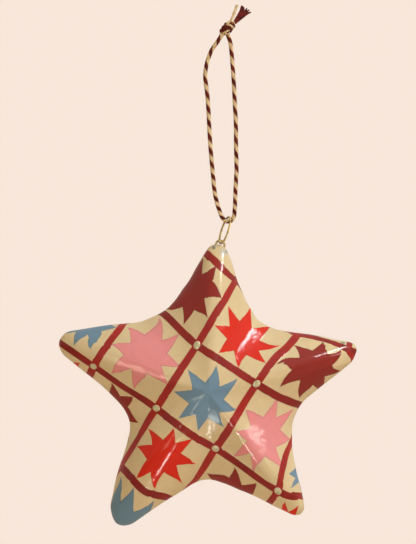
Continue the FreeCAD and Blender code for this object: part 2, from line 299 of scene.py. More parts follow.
tooth_places = (
    # The middle block.
    (197.7, 431.1, 0.67, 0.07), (179.1, 418.4, 0.33, 0.07), (173.8, 391.3, 0.07, 0.33),
    (187.8, 369.3, 0.07, 0.67), (217.0, 365.8, 0.33, 0.93), (238.0, 379.1, 0.67, 0.93),
    (235.6, 411.0, 0.93, 0.67), (223.7, 426.9, 0.93, 0.33),
    # The block above it, between the top arm and the right one.
    (250.7, 306.9, 0.33, 1.93), (270.1, 326.8, 0.67, 1.93), (279.9, 346.2, 0.93, 1.67),
    (266.7, 362.7, 0.93, 1.33), (237.5, 368.0, 0.67, 1.07), (218.9, 353.4, 0.33, 1.07),
    (214.9, 325.0, 0.07, 1.33), (228.2, 306.4, 0.07, 1.67),
    # To the left of the middle.
    (162.4, 320.2, -0.67, 0.93), (179.5, 333.2, -0.33, 0.93), (180.8, 368.2, -0.07, 0.67),
    (168.8, 384.7, -0.07, 0.33), (132.7, 388.5, -0.33, 0.07), (110.1, 373.3, -0.67, 0.07),
    (112.8, 342.8, -0.93, 0.33), (129.2, 327.4, -0.93, 0.67), (130.6, 342.9, -0.745, 0.5),
    (122.5, 355.4, -0.672, 0.328), (132.0, 368.6, -0.5, 0.255), (145.4, 334.3, -0.672, 0.672),
    (162.4, 340.1, -0.5, 0.745), (167.7, 353.4, -0.328, 0.672), (161.3, 365.3, -0.255, 0.5),
    (147.5, 374.6, -0.328, 0.328),
    # To the right of the middle.
    (278.0, 397.5, 1.33, 0.93), (293.2, 409.1, 1.67, 0.93), (291.0, 439.6, 1.93, 0.67),
    (284.7, 468.8, 1.93, 0.33), (250.9, 471.5, 1.67, 0.07), (233.0, 456.2, 1.33, 0.07),
    (235.6, 431.6, 1.07, 0.33), (245.4, 409.9, 1.07, 0.67),
    # Below the middle.
    (173.8, 428.5, 0.33, -0.07), (192.9, 438.3, 0.67, -0.07), (195.8, 463.5, 0.93, -0.33),
    (182.5, 483.4, 0.93, -0.67), (153.9, 489.5, 0.67, -0.93), (135.8, 478.1, 0.33, -0.93),
    (137.2, 445.4, 0.07, -0.67), (148.6, 427.7, 0.07, -0.33),
    # The top arm.
    (213.6, 280.4, -0.328, 1.672), (222.3, 298.6, -0.07, 1.67), (208.3, 316.2, -0.07, 1.33),
    (195.0, 311.0, -0.328, 1.328), (204.0, 297.3, -0.255, 1.5), (183.1, 324.6, -0.33, 1.07),
    (169.8, 311.6, -0.67, 1.07), (181.7, 306.9, -0.5, 1.255), (201.6, 274.4, -0.5, 1.745),
    (204.3, 256.8, -0.67, 1.93), (215.6, 265.6, -0.33, 1.93),
    # The right arm.
    (325.8, 342.6, 1.33, 1.93), (344.2, 351.2, 1.67, 1.93), (339.0, 371.4, 1.93, 1.672),
    (332.3, 366.2, 1.672, 1.672), (327.2, 352.8, 1.5, 1.745), (325.2, 376.0, 1.745, 1.5),
    (313.1, 385.6, 1.672, 1.328), (296.8, 397.6, 1.67, 1.07), (279.9, 387.1, 1.33, 1.07),
    (280.7, 357.4, 1.07, 1.33), (294.5, 344.4, 1.07, 1.67), (299.7, 358.3, 1.255, 1.5),
    (290.8, 370.4, 1.328, 1.328), (300.8, 379.8, 1.5, 1.255), (311.7, 349.7, 1.328, 1.672),
    # The left arm.
    (74.0, 345.0, -1.33, 0.07), (88.0, 333.4, -1.328, 0.328), (86.9, 349.8, -1.08, 0.32),
    (102.8, 331.2, -1.255, 0.5), (115.6, 328.2, -1.07, 0.67), (73.7, 332.5, -1.5, 0.255),
    (95.7, 340.3, -1.165, 0.415), (88.0, 341.8, -1.2, 0.329), (80.7, 339.2, -1.329, 0.2),
    (83.2, 365.2, -1.3, -0.08),
    # The notch on the left and the one at the bottom.
    (113.5, 384.0, -0.67, -0.07), (120.0, 395.6, -0.5, -0.255), (134.8, 398.5, -0.33, -0.07),
    (127.9, 406.4, -0.328, -0.328), (138.0, 423.2, -0.07, -0.33), (207.0, 474.1, 1.07, -0.33),
    (236.9, 470.1, 1.33, -0.07), (256.8, 483.4, 1.67, -0.07), (228.7, 475.6, 1.328, -0.328),
    (242.0, 485.2, 1.5, -0.255),
    # The two lower tips.
    (122.2, 475.1, 0.07, -1.33), (120.6, 500.5, 0.328, -1.328), (133.4, 487.7, 0.33, -1.07),
    (133.6, 512.4, 0.5, -1.255), (154.8, 499.9, 0.67, -1.07), (289.6, 474.5, 2.07, 0.33),
    (294.5, 478.6, 2.328, 0.328), (291.6, 487.5, 2.33, 0.07), (284.5, 502.2, 2.33, -0.07),
    (298.5, 507.1, 2.67, -0.07), (289.0, 511.0, 2.5, -0.255),
)


def even_grid(place):
    """Block coordinates of a place on the even grid."""
    way = place - grid_origin
    area = grid_right.x * grid_up.y - grid_right.y * grid_up.x
    along = (way.x * grid_up.y - way.y * grid_up.x) / area
    up = (grid_right.x * way.y - grid_right.y * way.x) / area
    return Vector((along, up))


# %% Bend the grid like a thin sheet that is pinned at those places
BLOCK = 25 * MM


def sheet_lift(distance):
    """How a thin sheet bends round a pin, at a distance from it counted in blocks."""
    return distance ** 2 * np.log(np.maximum(distance, 1e-6))


def pinned_sheet(marks, looseness):
    """A function that says how far the painted grid is off the even one at each of some places."""
    pins = np.array([seen(across, down) for across, down, _, _ in marks])
    shifts = np.array([Vector((along, up)) - even_grid(seen(across, down))
                       for across, down, along, up in marks])
    flat_part = np.column_stack([np.ones(len(pins)), pins / BLOCK])
    gaps = np.linalg.norm(pins[:, None] - pins[None], axis=2) / BLOCK
    system = np.block([[sheet_lift(gaps) + looseness * np.eye(len(pins)), flat_part],
                       [flat_part.T, np.zeros((3, 3))]])
    pulls = np.linalg.solve(system, np.vstack([shifts, np.zeros((3, 2))]))

    def bend_at(places):
        places = np.array(places)
        far = np.linalg.norm(places[:, None] - pins[None], axis=2) / BLOCK
        sheet = np.column_stack([sheet_lift(far), np.ones(len(places)), places / BLOCK])
        return sheet @ pulls

    miss = np.abs(bend_at(pins) - shifts).max()
    print(len(pins), "pins, missed by", round(float(miss), 3), "blocks at most")
    return bend_at


bend_of_lines = pinned_sheet(grid_places, 0.001)
bend_of_stars = pinned_sheet(grid_places + tooth_places, 0.008)

# %% [markdown]
# ## The two halves of the star
# Such a star is made as two bowls of paper pulp, glued rim to rim. Each half starts as one
# circle of vertices that is pulled to the outline. Its edge is then extruded again and again,
# smaller and deeper each time, up to the crown, and once more the other way for the inside wall.
# A rounded profile makes the rim turn gently, and a light unevenness gives the lacquer the
# broken, wrinkled shine of pulp that dried by hand.

# %% Extrude, place and close the rings of a bowl
outer_rows, inner_rows = 46, 16
# Where a bowl has drawn in this far, its last ring closes to a point.
outer_close, inner_close = 0.012, 0.03


def draw_ring(bm, ring, places):
    """Extrudes a closed ring of vertices once, moves the copy and returns it in the same order."""
    here = set(ring)
    edges = {e for v in ring for e in v.link_edges if e.other_vert(v) in here}
    made = bmesh.ops.extrude_edge_only(bm, edges=list(edges))
    fresh = {g for g in made["geom"] if isinstance(g, bmesh.types.BMVert)}
    copied = []
    for vertex, place in zip(ring, places):
        others = (edge.other_vert(vertex) for edge in vertex.link_edges)
        twin = next(other for other in others if other in fresh)
        twin.co = place
        copied.append(twin)
    return copied


def bowl_profile(first_depth, last_depth, rows):
    """How far each row has drawn in towards the middle, and how deep it then lies."""
    profile = []
    for row in range(1, rows + 1):
        turn = math.pi / 2 * row / rows
        share = max(math.cos(turn), 0.0) ** (2 / crown_power)
        depth = first_depth + (last_depth - first_depth) * math.sin(turn) ** (2 / rim_power)
        profile.append((share, depth))
    return profile


def block_sizes(places, marks):
    """How many metres of skin a block takes, along and up, on rings of places with their marks."""
    round_way = np.roll(places, -1, axis=1) - np.roll(places, 1, axis=1)
    in_way = 2 * np.gradient(places, axis=0)
    round_marks = np.roll(marks, -1, axis=1) - np.roll(marks, 1, axis=1)
    in_marks = 2 * np.gradient(marks, axis=0)
    across = (round_way ** 2).sum(axis=2)[..., None]
    mixed = (round_way * in_way).sum(axis=2)[..., None]
    inward = (in_way ** 2).sum(axis=2)[..., None]
    slope = inward * round_marks ** 2 - 2 * mixed * round_marks * in_marks + across * in_marks ** 2
    slope = slope / (across * inward - mixed ** 2)
    least, most, softenings = 0.2 * BLOCK, 1.6 * BLOCK, 6
    sizes = np.clip(1 / np.sqrt(slope), least, most)
    for _ in range(softenings):
        sizes = (sizes + np.roll(sizes, 1, axis=1) + np.roll(sizes, -1, axis=1)) / 3
    return sizes


def star_half(name, side):
    """One half of the star: outer skin, rim and inner wall, with the grid stored on it."""
    bm = bmesh.new()
    grid = bm.verts.layers.float_vector.new("quilt")
    lines = bm.verts.layers.float_vector.new("lines")
    block_size = bm.verts.layers.float_vector.new("block_size")
    rim = bmesh.ops.create_circle(bm, segments=len(outer_outline), radius=arm_reach)["verts"]

    def spot(place, share, depth):
        return star_centre + Vector((place.x * share, side * depth, place.y * share))

    glue = 0.01 * MM
    for vertex, place in zip(rim, outer_outline):
        vertex.co = spot(place, 1.0, glue)
    rows = [(rim, 1.0, 0.0)]
    skin = rim
    crown = set()
    for share, depth in bowl_profile(glue, half_depth, outer_rows):
        if share < outer_close:
            bmesh.ops.pointmerge(bm, verts=skin, merge_co=spot(Vector((0, 0)), 0.0, half_depth))
            break
        skin = draw_ring(bm, skin, [spot(p, share, depth) for p in outer_outline])
        crown.update(skin)
        rows.append((skin, share, depth))
    band = 1.6 * MM
    wall = draw_ring(bm, rim, [spot(p, 1.0, glue) for p in inner_outline])
    wall = draw_ring(bm, wall, [spot(p, 1.0, band) for p in inner_outline])
    for share, depth in bowl_profile(band, half_depth - shell_wall, inner_rows):
        if share < inner_close:
            middle = spot(Vector((0, 0)), 0.0, half_depth - shell_wall)
            bmesh.ops.pointmerge(bm, verts=wall, merge_co=middle)
            break
        wall = draw_ring(bm, wall, [spot(p, share, depth) for p in inner_outline])
    bmesh.ops.recalc_face_normals(bm, faces=bm.faces)

    # The outer skin is softened and made slightly uneven, with heights in millimetres.
    softenings = 3
    broad_wave, broad_height = 9 * MM, 0.16
    fine_wave, fine_height = 3.2 * MM, 0.045
    calm_reach = 2.5 * MM
    crown = [v for v in crown if v.is_valid]
    for _ in range(softenings):
        bmesh.ops.smooth_vert(bm, verts=crown, factor=0.5, use_axis_x=True, use_axis_y=True,
                              use_axis_z=True)
    bm.normal_update()
    for vertex in crown:
        broad = noise.noise(vertex.co * (1 / broad_wave) + Vector((0, side * 3, 0)))
        fine = noise.noise(vertex.co * (1 / fine_wave))
        calm = min(1.0, abs(vertex.co.y) / calm_reach)
        height = (broad * broad_height + fine * fine_height) * MM * calm
        vertex.co += vertex.normal * height

    # The grid counts along the skin where the skin has turned away from the face.
    stretched = {v: Vector((v.co.x, v.co.z)) for v in bm.verts}
    middle = Vector((star_centre.x, star_centre.z))
    shown = {}
    for k in range(len(rim)):
        reach = outer_outline[k].length
        last_share, last_depth = 0.0, half_depth
        counted = 0.0
        for ring, share, depth in reversed(rows):
            if ring[k].is_valid:
                step = share - last_share
                climb = (last_depth - depth) / reach
                steep = min(1.0, max(0.0, (climb / max(step, 1e-6) - 1.2) / 2.0))
                counted += step + steep * (math.hypot(step, climb) - step)
                stretched[ring[k]] = middle + outer_outline[k] * counted
                shown[ring[k]] = share
                last_share, last_depth = share, depth
    bm.verts.ensure_lookup_table()

    # The third number of the stars' grid only moves the paint's soft noise.
    views = [as_seen(vertex.co) for vertex in bm.verts]
    for vertex, view, star_bend, line_bend in zip(bm.verts, views, bend_of_stars(views),
                                                  bend_of_lines(views)):
        even = even_grid(view + stretched[vertex] - Vector((vertex.co.x, vertex.co.z)))
        vertex[grid] = (even.x + star_bend[0], even.y + star_bend[1], shown.get(vertex, 0.0))
        vertex[lines] = (even.x + line_bend[0], even.y + line_bend[1], 0.0)
        vertex[block_size] = (BLOCK, BLOCK, 0.0)
    whole = [ring for ring, _, _ in rows[:-1]]
    places = np.array([[vertex.co for vertex in ring] for ring in whole])
    marks = np.array([[vertex[lines][:2] for vertex in ring] for ring in whole])
    for ring, sizes in zip(whole, block_sizes(places, marks)):
        for vertex, size in zip(ring, sizes):
            vertex[block_size] = (size[0], size[1], 0.0)
    for face in bm.faces:
        face.smooth = True
    mesh = bpy.data.meshes.new(name)
    bm.to_mesh(mesh)
    bm.free()
    return mesh


# %% [markdown]
# ## Paint and lacquer
# The ground is a warm cream. Crimson bands divide it into blocks, and each block holds an
# eight-pointed sawtooth star, as in a patchwork quilt. Which of the four star colours a block
# has follows from whether its row and column are odd or even. The edges wobble as a brush does,
# so the coordinates are shaken by soft noise before any shape is drawn. The bands are as wide
# in metres of skin everywhere, and those that run down to the right are darker. A clear coat
# over all of it gives the sharp shine, and the cream has yellowed unevenly under it.

# %% Paints
cream = paint_colour(233, 209, 165)
old_cream = paint_colour(217, 190, 136)
band_red = paint_colour(180, 44, 38)
dark_band = paint_colour(118, 28, 26)
maroon = paint_colour(152, 44, 36)
scarlet = paint_colour(230, 40, 12)
rose = paint_colour(243, 152, 154)
sky = paint_colour(117, 149, 173)
slate = paint_colour(104, 116, 108)
# Slate paint whitened by a painted reflection of the lacquer's shine.
pale_slate_and_sheen = paint_colour(206, 202, 190)
# Smears of grey left on the tips: place, reach in millimetres, strength and colour. The pale
# ones are slate paint whitened by a painted reflection of the lacquer's shine. Each is even up
# to a share of its reach.
blot_core = 0.6
tip_blots = (
    (223.6, 252.6, 1.6, 0.75, pale_slate_and_sheen), (213.9, 247.2, 0.75, 0.75, slate),
    (215.8, 243.8, 0.7, 0.5, slate), (226.4, 251.6, 0.7, 0.5, slate),
    (218.4, 246.2, 0.5, 0.35, slate), (342.2, 343.2, 0.8, 0.6, slate),
    (350.6, 345.4, 0.8, 0.6, slate), (346.4, 345.0, 1.3, 0.4, pale_slate_and_sheen),
)


# %% The painted quilt material
def quilt_finish():
    """Cream ground, crimson bands, sawtooth stars and lacquer."""
    finish, tree, shader = new_finish("painted_quilt")
    grid = add_node(tree, "ShaderNodeAttribute", attribute_name="quilt").outputs["Vector"]
    parts = add_node(tree, "ShaderNodeSeparateXYZ", {0: grid})
    along, up = parts.outputs[0], parts.outputs[1]

    def shaken(value, scale, offset, amount):
        moved = vector_of(tree, "ADD", grid, (offset, offset, 0.0))
        shake = sum_of(tree, "SUBTRACT", cloudy(tree, moved, scale), 0.5)
        return sum_of(tree, "MULTIPLY_ADD", shake, amount, value)

    along_wobbly = shaken(shaken(along, 4.5, 3.1, 0.016), 20.0, 1.7, 0.008)
    up_wobbly = shaken(shaken(up, 4.5, 7.3, 0.016), 20.0, 5.9, 0.008)

    def from_middle(value):
        inside = sum_of(tree, "FRACT", value)
        return sum_of(tree, "ABSOLUTE", sum_of(tree, "SUBTRACT", inside, 0.5))

    far_along, far_up = from_middle(along_wobbly), from_middle(up_wobbly)
    larger = sum_of(tree, "MAXIMUM", far_along, far_up)
    smaller = sum_of(tree, "MINIMUM", far_along, far_up)

    # The sawtooth star: tips beside the bands, notches between them.
    tooth_half, notch_at, tip_at = 0.172, 0.245, 0.43
    slope = (tip_at - notch_at) / tooth_half
    past_notch = sum_of(tree, "SUBTRACT", larger, notch_at)
    past_flank = sum_of(tree, "SUBTRACT", past_notch, sum_of(tree, "MULTIPLY", smaller, slope))
    past_tooth = sum_of(tree, "SUBTRACT", smaller, tooth_half)
    outside = sum_of(tree, "MAXIMUM", past_flank, past_tooth)
    star = sum_of(tree, "SUBTRACT", 1.0, soft_step(tree, outside, -0.006, 0.006))
    outline_in = soft_step(tree, outside, -0.028, -0.008)

    # Odd and even rows and columns choose the star's colour.
    def is_odd(value):
        half = sum_of(tree, "MULTIPLY", sum_of(tree, "FLOOR", value), 0.5)
        return sum_of(tree, "GREATER_THAN", sum_of(tree, "FRACT", half), 0.25)

    odd_column, odd_row = is_odd(along_wobbly), is_odd(up_wobbly)
    plain_columns = between(tree, odd_row, sky, scarlet)
    other_columns = between(tree, odd_row, rose, maroon)
    star_colour = between(tree, odd_column, plain_columns, other_columns)
    darker = add_node(tree, "ShaderNodeHueSaturation", {"Value": 0.72, "Color": star_colour})
    edge = sum_of(tree, "MULTIPLY", outline_in, 0.45)
    star_colour = between(tree, edge, star_colour, darker.outputs[0])

    # The ground, more yellow in patches, with grey smears on the tips. The pale smears are partly
    # a painted reflection.
    patches = soft_step(tree, cloudy(tree, grid, 1.7, 4.0), 0.42, 0.75)
    ground = between(tree, sum_of(tree, "MULTIPLY", patches, 0.3), cream, old_cream)
    beyond = soft_step(tree, up, 2.07, 2.1)
    place = add_node(tree, "ShaderNodeTexCoord").outputs["Object"]
    rough = add_node(tree, "ShaderNodeTexNoise", {"Vector": place, "Scale": 900.0})
    shift = vector_of(tree, "SUBTRACT", rough.outputs["Color"], (0.5, 0.5, 0.5))
    roughened = vector_of(tree, "MULTIPLY_ADD", shift, (0.0016, 0.0, 0.0016), place)
    for across, down, reach, strength, smear in tip_blots:
        spot = seen(across, down)
        way = vector_of(tree, "SUBTRACT", roughened, (spot.x, 0.0, spot.y))
        away = vector_of(tree, "LENGTH", vector_of(tree, "MULTIPLY", way, (1.0, 0.0, 1.0)))
        faded = soft_step(tree, away, reach * blot_core * MM, reach * MM)
        blot = sum_of(tree, "SUBTRACT", 1.0, faded)
        ground = between(tree, sum_of(tree, "MULTIPLY", blot, strength), ground, smear)
    star = sum_of(tree, "MULTIPLY", star, sum_of(tree, "SUBTRACT", 1.0, beyond))
    colour = between(tree, star, ground, star_colour)

    # The bands, laid over everything, a little thicker and thinner as the brush ran. Their width
    # is counted in metres of skin, so that it stays the same where the blocks are squeezed.
    size = add_node(tree, "ShaderNodeAttribute", attribute_name="block_size").outputs["Vector"]
    sizes = add_node(tree, "ShaderNodeSeparateXYZ", {0: size})
    lines = add_node(tree, "ShaderNodeAttribute", attribute_name="lines").outputs["Vector"]
    line_parts = add_node(tree, "ShaderNodeSeparateXYZ", {0: lines})
    to_column = sum_of(tree, "SUBTRACT", 0.5, from_middle(line_parts.outputs[0]))
    to_row = sum_of(tree, "SUBTRACT", 0.5, from_middle(line_parts.outputs[1]))
    from_column = sum_of(tree, "MULTIPLY", to_column, sizes.outputs[0])
    from_row = sum_of(tree, "MULTIPLY", to_row, sizes.outputs[1])
    nearest = shaken(sum_of(tree, "MINIMUM", from_column, from_row), 3.0, 11.0, 0.5 * MM)
    band = sum_of(tree, "SUBTRACT", 1.0, soft_step(tree, nearest, 1.22 * MM, 1.44 * MM))
    streak = soft_step(tree, cloudy(tree, grid, 2.3, 5.0), 0.36, 0.64)
    is_row = sum_of(tree, "GREATER_THAN", from_column, from_row)
    row_darkness = sum_of(tree, "MULTIPLY", is_row, 0.4)
    darkness = sum_of(tree, "MULTIPLY_ADD", streak, 0.3, row_darkness)
    band_colour = between(tree, darkness, band_red, dark_band)
    colour = between(tree, band, colour, band_colour)

    # Thin places in the paint let the light vary from stroke to stroke.
    strokes = cloudy(tree, grid, 9.0, 5.0)
    strength = add_node(tree, "ShaderNodeMapRange", {0: strokes, 3: 0.93, 4: 1.06}).outputs[0]
    shade = add_node(tree, "ShaderNodeHueSaturation", {"Value": strength, "Color": colour})
    tree.links.new(shade.outputs[0], shader.inputs["Base Color"])

    # Paint stands a hair above the ground, under lacquer that dried with ripples and wrinkles.
    relief = sum_of(tree, "MAXIMUM", star, band)
    wrinkle = cloudy(tree, grid, 30.0, 3.0)
    height = sum_of(tree, "MULTIPLY_ADD", wrinkle, 0.5, sum_of(tree, "MULTIPLY", relief, 0.5))
    add_bump(tree, shader, height, 0.00006)
    ripple = cloudy(tree, grid, 8.0, 3.0)
    lacquer = sum_of(tree, "MULTIPLY_ADD", ripple, 2.5, height)
    inputs = {"Height": lacquer, "Distance": 0.00006, "Strength": 1.0}
    skin = add_node(tree, "ShaderNodeBump", inputs)
    tree.links.new(skin.outputs[0], shader.inputs["Coat Normal"])
    shader.inputs["Roughness"].default_value = 0.5
    shader.inputs["Specular IOR Level"].default_value = 0.05
    shader.inputs["Coat Weight"].default_value = 0.36
    shader.inputs["Coat Roughness"].default_value = 0.04
    shader.inputs["Coat IOR"].default_value = 1.5
    return finish


# %% Make both halves
quilt = quilt_finish()
front_skin = keep_piece("front_skin", star_half("front_skin", -1), "star", quilt, "painted_paper",
                        "front_shell")
rear_skin = keep_piece("rear_skin", star_half("rear_skin", 1), "star", quilt, "painted_paper",
                       "rear_shell")

# %% [markdown]
# ## Dabs at the crossings
# Where two bands cross, the painter set a blob of thick pale paint that stands out and catches
# the light. Bump alone would stay flat from the side, so each dab is a real low dome: a small
# sphere, flattened, turned to lie on the skin and sunk into it by half.


# %% Set a dome on each crossing
dab_count = 6
dab_radius = 1.0 * MM
dab_long, dab_wide, dab_high = 1.38, 1.18, 0.34
dab_wave = 0.9 * MM
dab_unevenness = 0.06


def dab_finish():
    """Thick pale paint with a touch of green."""
    finish, tree, shader = new_finish("thick_pale_paint")
    place = add_node(tree, "ShaderNodeTexCoord").outputs["Object"]
    mottle = soft_step(tree, cloudy(tree, place, 1000.0, 2.0), 0.45, 0.75)
    colour = between(tree, mottle, paint_colour(216, 204, 160), paint_colour(180, 166, 122))
    tree.links.new(colour, shader.inputs["Base Color"])
    shader.inputs["Roughness"].default_value = 0.35
    shader.inputs["Coat Weight"].default_value = 0.8
    shader.inputs["Coat Roughness"].default_value = 0.1
    return finish


def crossing_dabs(name, skin, side):
    """Low domes on one half, at the first whole crossings in the list of pins."""
    shell = bmesh.new()
    shell.from_mesh(skin.data)
    tree = BVHTree.FromBMesh(shell)
    bm = bmesh.new()
    crossings = [pin for pin in grid_places if pin[2] == int(pin[2]) and pin[3] == int(pin[3])]
    for count, (across, down, _, _) in enumerate(crossings[:dab_count]):
        place = seen(across, down)
        eye_place = Vector((view_middle.x, side * view_distance, view_middle.y))
        sight_line = (Vector((place.x, 0.0, place.y)) - eye_place).normalized()
        hit, normal, _, _ = tree.ray_cast(eye_place, sight_line)
        made = bmesh.ops.create_uvsphere(bm, u_segments=24, v_segments=14, radius=dab_radius)
        turn = normal.to_track_quat("Z", "Y").to_matrix().to_4x4()
        twist = Matrix.Rotation(count * 1.3, 4, "Z")
        longer = dab_long + 0.1 * math.sin(count * 2.1)
        size = Matrix.Diagonal((longer, dab_wide, dab_high, 1.0))
        bmesh.ops.transform(bm, matrix=Matrix.Translation(hit) @ turn @ twist @ size,
                            verts=made["verts"])
    for vertex in bm.verts:
        uneven = noise.noise(vertex.co * (1 / dab_wave)) * dab_unevenness * MM
        vertex.co += vertex.co.normalized() * uneven
    for face in bm.faces:
        face.smooth = True
    mesh = bpy.data.meshes.new(name)
    bm.to_mesh(mesh)
    bm.free()
    shell.free()
    return mesh


pale_paint = dab_finish()
for half, skin, side in (("front", front_skin, -1), ("rear", rear_skin, 1)):
    dabs = crossing_dabs(half + "_crossing_dabs", skin, side)
    keep_piece(half + "_crossing_dabs", dabs, "star", pale_paint, "painted_paper")

# %% [markdown]
# ## Cord, wire and threads
# Everything above the star is thread or wire, so one method makes it all: a path of points, a
# round section swept along it by a curve object's bevel, and the result turned into a mesh. A
# twisted cord is several such sweeps whose paths wind round one common line.


# %% Paths and sweeps
# How much tighter a cord winds at its tight spot, and how far from it that can be seen.
tight_gain = 0.53
tight_reach = 27.7 * MM


def path_of(points):
    """Evenly spaced places along a smooth curve that is steered by a few chosen points."""
    curve = bpy.data.curves.new("route", "CURVE")
    curve.dimensions = "3D"
    curve.resolution_u = 24
    spline = curve.splines.new("NURBS")
    spline.points.add(len(points) - 1)
    for target, point in zip(spline.points, points):
        target.co = (*point, 1.0)
    spline.order_u = 3
    spline.use_endpoint_u = True
    holder = bpy.data.objects.new("route", curve)
    mesh = bpy.data.meshes.new_from_object(holder)
    places = [v.co.copy() for v in mesh.vertices]
    bpy.data.objects.remove(holder)
    bpy.data.meshes.remove(mesh)
    return places


def spaced(places, step):
    """The same path with places at even steps, and its length."""
    lengths = [0.0]
    for first, second in zip(places, places[1:]):
        lengths.append(lengths[-1] + (second - first).length)
    count = max(4, round(lengths[-1] / step))
    even = []
    k = 0
    for n in range(count + 1):
        target = lengths[-1] * n / count
        while k < len(places) - 2 and lengths[k + 1] < target:
            k += 1
        run = lengths[k + 1] - lengths[k]
        even.append(places[k].lerp(places[k + 1], (target - lengths[k]) / run if run else 0.0))
    return even, lengths[-1]


def frames_along(places, closed=False):
    """At each place the heading and two directions square to it, carried on without twist."""
    count = len(places)
    headings = []
    for k in range(count):
        after = places[(k + 1) % count] if closed or k < count - 1 else places[k]
        before = places[k - 1] if closed or k > 0 else places[k]
        headings.append((after - before).normalized())
    side = headings[0].orthogonal().normalized()
    if abs(headings[0].y) < 0.9:
        side = (Vector((0, 1, 0)) - headings[0] * headings[0].y).normalized()
    frames = []
    for heading in headings:
        side = (side - heading * side.dot(heading)).normalized()
        frames.append((heading, side, heading.cross(side)))
    return frames


def winding(places, radius, pitch, phase, closed=False, wander=0.0, tight_spot=None):
    """A path that winds round another one, more tightly near a spot of its run if one is given."""
    frames = frames_along(places, closed)
    length = sum((b - a).length for a, b in zip(places, places[1:]))
    if closed:
        length += (places[0] - places[-1]).length
        pitch = length / round(length / pitch)
    wound = []
    run = wound_run = 0.0
    for k, (place, (_, side, over)) in enumerate(zip(places, frames)):
        if k:
            step = (place - places[k - 1]).length
            run += step
            pace = 1.0
            if tight_spot is not None:
                pace += tight_gain * max(0.0, 1 - abs(run - tight_spot) / tight_reach)
            wound_run += step * pace
        turn = phase + 2 * math.pi * wound_run / pitch
        turn += wander * noise.noise(Vector((run * 300, 0, 0)))
        wound.append(place + (side * math.cos(turn) + over * math.sin(turn)) * radius)
    return wound


def sweep(name, paths, thickness, closed=False, taper=0, sides=2):
    """A mesh of round strands along paths. A taper thins that many places at each free end."""
    curve = bpy.data.curves.new(name, "CURVE")
    curve.dimensions = "3D"
    curve.bevel_depth = thickness / 2
    curve.bevel_resolution = sides
    curve.use_fill_caps = not closed
    for path in paths:
        spline = curve.splines.new("POLY")
        spline.points.add(len(path) - 1)
        for k, (target, place) in enumerate(zip(spline.points, path)):
            target.co = (*place, 1.0)
            if taper:
                left = len(path) - 1 - k
                target.radius = min(1.0, 0.35 + 0.65 * left / taper)
        spline.use_cyclic_u = closed
    holder = bpy.data.objects.new(name, curve)
    mesh = bpy.data.meshes.new_from_object(holder)
    bpy.data.objects.remove(holder)
    bm = bmesh.new()
    bm.from_mesh(mesh)
    bmesh.ops.remove_doubles(bm, verts=bm.verts, dist=0.002 * MM)
    bmesh.ops.recalc_face_normals(bm, faces=bm.faces)
    for face in bm.faces:
        face.smooth = True
    bm.to_mesh(mesh)
    bm.free()
    return mesh


# %% [markdown]
# ## Cotton
# Cotton thread is dull, with a faint halo from its loose fibres. The same recipe makes both
# colours: a colour that varies along the thread, fine fibre relief and a little sheen.


# %% Cotton finishes
def cotton(name, light, dark):
    """Dull thread between a light and a dark shade."""
    finish, tree, shader = new_finish(name)
    place = add_node(tree, "ShaderNodeTexCoord").outputs["Object"]
    tone = soft_step(tree, cloudy(tree, place, 900.0, 4.0), 0.3, 0.7)
    tree.links.new(between(tree, tone, light, dark), shader.inputs["Base Color"])
    add_bump(tree, shader, cloudy(tree, place, 5200.0, 3.0), 0.00005)
    shader.inputs["Roughness"].default_value = 0.85
    shader.inputs["Specular IOR Level"].default_value = 0.05
    shader.inputs["Sheen Weight"].default_value = 0.08
    shader.inputs["Sheen Roughness"].default_value = 0.5
    return finish


cream_cotton = cotton("cream_cotton", paint_colour(246, 222, 180), paint_colour(222, 190, 138))
maroon_cotton = cotton("maroon_cotton", paint_colour(130, 46, 36), paint_colour(88, 34, 28))

# %% [markdown]
# ## The hanging loop
# The cord is two cotton plies, one cream and one maroon, twisted together. It runs from the
# knot down the left leg, round the ring and up the right leg. The route is steered by points
# chosen along the real one. Each ply is three yarns side by side, which cover half of the cord
# like a rounded band, and a dark maroon core fills the middle as painted shade between the
# plies. The twist is tighter near the ring.

# %% Route of the loop
loop_route = [Vector(point) * MM for point in (
    (-0.60, -0.50, 1.20), (-2.05, -0.45, -1.45), (-4.55, -0.30, -4.60), (-6.20, -0.10, -9.40),
    (-6.75, 0.10, -13.60), (-5.95, 0.30, -18.60), (-5.45, 0.40, -25.50), (-5.15, 0.30, -32.50),
    (-4.60, 0.10, -40.50), (-3.95, -0.10, -47.00), (-3.45, -0.10, -53.00), (-2.15, 0.00, -58.30),
    (-0.18, 0.00, -63.14), (3.18, 0.00, -62.61),
    (3.55, 0.00, -57.20), (3.75, 0.15, -51.00), (4.15, 0.30, -44.50), (3.85, 0.25, -37.50),
    (3.90, 0.00, -30.00), (3.45, -0.25, -23.00), (3.20, -0.30, -16.50), (2.75, -0.10, -10.50),
    (2.35, 0.10, -4.80), (1.80, 0.40, -0.90), (0.75, 0.60, 1.35),
)]
cord_pitch = -4.9 * MM
yarn_reach = 0.5 * MM
yarn_diameter = 0.5 * MM
# The core is a dark maroon thread that stands in for the shade between the plies.
shade_core_diameter = 0.7 * MM
cord_phase = 3.74
loop_line, loop_length = spaced(path_of(loop_route), 0.16 * MM)
print("the loop's line is", round(loop_length / MM, 1), "mm long")


# %% Twist plies into a cord
def plies_of(line, phase):
    """Three yarns side by side for each ply, wound so tightly that a ply is a half-round band."""
    return [winding(line, yarn_reach, cord_pitch, phase + math.radians(turn), wander=0.35,
                    tight_spot=loop_length / 2) for turn in (-58, 0, 58)]


